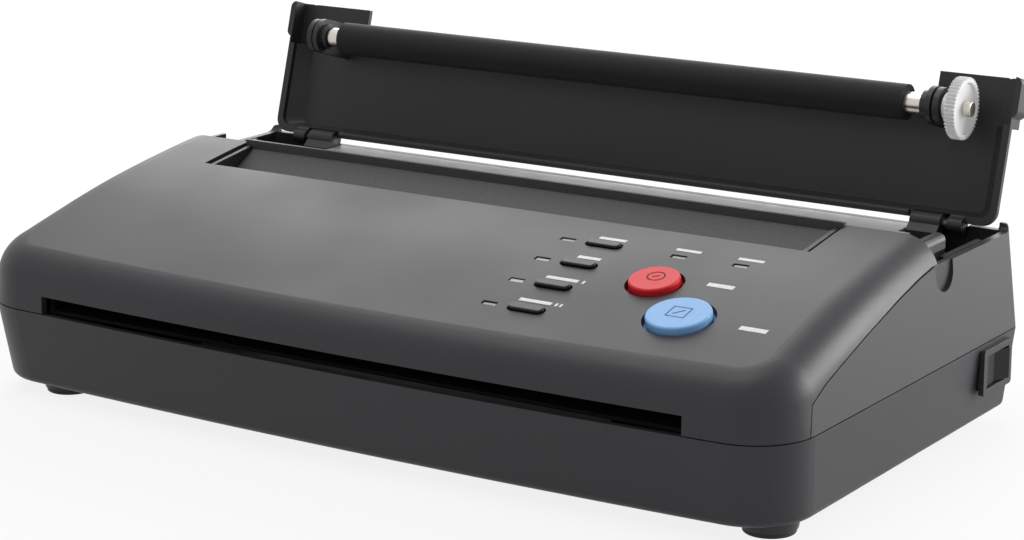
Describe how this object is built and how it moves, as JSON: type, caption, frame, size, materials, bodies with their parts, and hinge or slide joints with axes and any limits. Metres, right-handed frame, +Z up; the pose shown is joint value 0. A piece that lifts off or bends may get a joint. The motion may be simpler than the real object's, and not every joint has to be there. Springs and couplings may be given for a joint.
{
  "type": "thermal stencil copier",
  "caption": "Desktop thermal stencil copier with a sloping cover, document tray, push buttons and a hinged lid that carries the platen roller.",
  "frame": {"origin": "under the middle of the object, at the undersides of the feet, lid open", "axes": "+X to the user's right, +Y to the back, +Z up"},
  "size_m": [0.3025, 0.1786, 0.1087],
  "materials": {
    "housing_plastic": "semi-matte charcoal",
    "black_plastic": "satin black",
    "tray_plastic": "speckled dark grey",
    "gloss_black": "gloss black",
    "blue_plastic": "satin light blue",
    "red_plastic": "satin red",
    "white_plastic": "satin white acetal",
    "lens_plastic": "frosted light grey",
    "black_rubber": "matt black",
    "foot_rubber": "matt black",
    "steel": "ground",
    "zinc_sheet": "zinc-plated sheet",
    "spring_steel": "drawn wire",
    "aluminium": "extruded",
    "ceramic_strip": "glazed",
    "glass_strip": "clear",
    "brass": "bright",
    "board_green": "solder resist",
    "chip_black": "moulded",
    "connector_white": "moulded"
  },
  "bodies": {
    "chassis": {"bottom_housing": "housing_plastic", "mid_housing": "housing_plastic", "front_cover": "housing_plastic", "document_tray": "tray_plastic", "rubber_feet": "foot_rubber", "housing_screws": "steel", "control_screws": "steel", "hinge_brackets": "black_plastic", "hinge_pins": "steel", "control_board": "board_green", "board_lamps": "lens_plastic", "tact_switches": "chip_black", "lamp_lenses": "lens_plastic", "paper_guides": "black_plastic", "image_sensor": "black_plastic", "sensor_glass": "glass_strip", "feed_bushes": "white_plastic", "scan_plates": "zinc_sheet", "scan_motor": "zinc_sheet", "print_frame": "zinc_sheet", "gear_plate": "zinc_sheet", "print_motor": "zinc_sheet", "gear_studs": "steel", "print_deck": "aluminium", "head_pivot": "steel", "head_springs": "spring_steel", "main_board": "board_green", "board_chips": "chip_black", "board_connectors": "connector_white", "power_board": "board_green", "power_parts": "chip_black", "power_inlet": "gloss_black", "inlet_pins": "brass", "rocker_bezel": "black_plastic"},
    "lid": {"lid_shell": "black_plastic", "platen_bushes": "black_plastic"},
    "platen": {"platen_shaft": "steel", "platen_rubber": "black_rubber", "platen_gear": "white_plastic"},
    "copy_button": {"copy_button": "blue_plastic"},
    "stop_button": {"stop_button": "red_plastic"},
    "mode_button_1": {"mode_button_1": "gloss_black"},
    "mode_button_2": {"mode_button_2": "gloss_black"},
    "mode_button_3": {"mode_button_3": "gloss_black"},
    "mode_button_4": {"mode_button_4": "gloss_black"},
    "power_rocker": {"power_rocker": "black_plastic"},
    "document_guide_left": {"document_guide_left": "black_plastic"},
    "document_guide_right": {"document_guide_right": "black_plastic"},
    "guide_pinion": {"guide_pinion": "white_plastic"},
    "drive_gear": {"drive_gear": "chip_black"},
    "compound_gear": {"compound_gear": "white_plastic"},
    "print_pinion": {"print_pinion": "brass"},
    "feed_roller": {"feed_shaft": "steel", "feed_rubber": "black_rubber", "feed_gear": "white_plastic"},
    "idler_gear": {"idler_gear": "white_plastic"},
    "scan_pinion": {"scan_pinion": "brass"},
    "print_head": {"heat_sink": "aluminium", "heater_strip": "ceramic_strip"}
  },
  "joints": [
    {"name": "lid_hinge", "type": "hinge", "parent": "chassis", "child": "lid", "pos_m": [0, 0.06759, 0.0612], "axis": [1, 0, 0], "range_deg": [0, 106.4]},
    {"name": "platen_turn", "type": "hinge", "parent": "lid", "child": "platen", "pos_m": [0, 0.06904, 0.09872], "axis": [1, 0, 0], "continuous": true},
    {"name": "copy_press", "type": "slide", "parent": "chassis", "child": "copy_button", "axis": [0, -0.2357, 0.9718], "range_m": [-0.0007, 0], "stiffness_N_per_m": 900},
    {"name": "stop_press", "type": "slide", "parent": "chassis", "child": "stop_button", "axis": [0, -0.2357, 0.9718], "range_m": [-0.0007, 0], "stiffness_N_per_m": 900},
    {"name": "mode_1_press", "type": "slide", "parent": "chassis", "child": "mode_button_1", "axis": [0, -0.2357, 0.9718], "range_m": [-0.0007, 0], "stiffness_N_per_m": 700},
    {"name": "mode_2_press", "type": "slide", "parent": "chassis", "child": "mode_button_2", "axis": [0, -0.2357, 0.9718], "range_m": [-0.0007, 0], "stiffness_N_per_m": 700},
    {"name": "mode_3_press", "type": "slide", "parent": "chassis", "child": "mode_button_3", "axis": [0, -0.2357, 0.9718], "range_m": [-0.0007, 0], "stiffness_N_per_m": 700},
    {"name": "mode_4_press", "type": "slide", "parent": "chassis", "child": "mode_button_4", "axis": [0, -0.2357, 0.9718], "range_m": [-0.0007, 0], "stiffness_N_per_m": 700},
    {"name": "rocker_tilt", "type": "hinge", "parent": "chassis", "child": "power_rocker", "pos_m": [0.1475, 0.05519, 0.0209], "axis": [0, 0, 1], "range_deg": [0, 12]},
    {"name": "guide_left_slide", "type": "slide", "parent": "chassis", "child": "document_guide_left", "axis": [1, 0, 0], "range_m": [0, 0.04]},
    {"name": "guide_right_slide", "type": "slide", "parent": "chassis", "child": "document_guide_right", "axis": [1, 0, 0], "range_m": [-0.04, 0]},
    {"name": "guide_pinion_turn", "type": "hinge", "parent": "chassis", "child": "guide_pinion", "pos_m": [0, 0.00609, 0.06137], "axis": [0, -0.4819, 0.8762], "range_deg": [0, 358.2]},
    {"name": "drive_turn", "type": "hinge", "parent": "chassis", "child": "drive_gear", "pos_m": [0, 0.04949, 0.05008], "axis": [1, 0, 0], "continuous": true},
    {"name": "compound_turn", "type": "hinge", "parent": "chassis", "child": "compound_gear", "pos_m": [0, 0.04309, 0.03899], "axis": [1, 0, 0], "continuous": true},
    {"name": "print_motor_turn", "type": "hinge", "parent": "chassis", "child": "print_pinion", "pos_m": [0, 0.04031, 0.02323], "axis": [1, 0, 0], "continuous": true},
    {"name": "feed_turn", "type": "hinge", "parent": "chassis", "child": "feed_roller", "pos_m": [0, -0.03791, 0.0442], "axis": [1, 0, 0], "continuous": true},
    {"name": "idler_turn", "type": "hinge", "parent": "chassis", "child": "idler_gear", "pos_m": [0, -0.02288, 0.03873], "axis": [1, 0, 0], "continuous": true},
    {"name": "scan_motor_turn", "type": "hinge", "parent": "chassis", "child": "scan_pinion", "pos_m": [0, -0.01522, 0.0323], "axis": [1, 0, 0], "continuous": true},
    {"name": "head_tilt", "type": "hinge", "parent": "chassis", "child": "print_head", "pos_m": [0, 0.01659, 0.0407], "axis": [1, 0, 0], "range_deg": [-2, 0], "stiffness_Nm_per_rad": 4, "deforming": ["head_springs"]}
  ],
  "couplings": [
    {"joint": "guide_right_slide", "follows": "guide_left_slide", "ratio": -1},
    {"joint": "guide_pinion_turn", "follows": "guide_left_slide", "rad_per_m": 156.25},
    {"joint": "compound_turn", "follows": "drive_turn", "ratio": -2.2},
    {"joint": "print_motor_turn", "follows": "drive_turn", "ratio": 6.6},
    {"joint": "idler_turn", "follows": "feed_turn", "ratio": -1.6667},
    {"joint": "scan_motor_turn", "follows": "feed_turn", "ratio": 2.5}
  ]
}
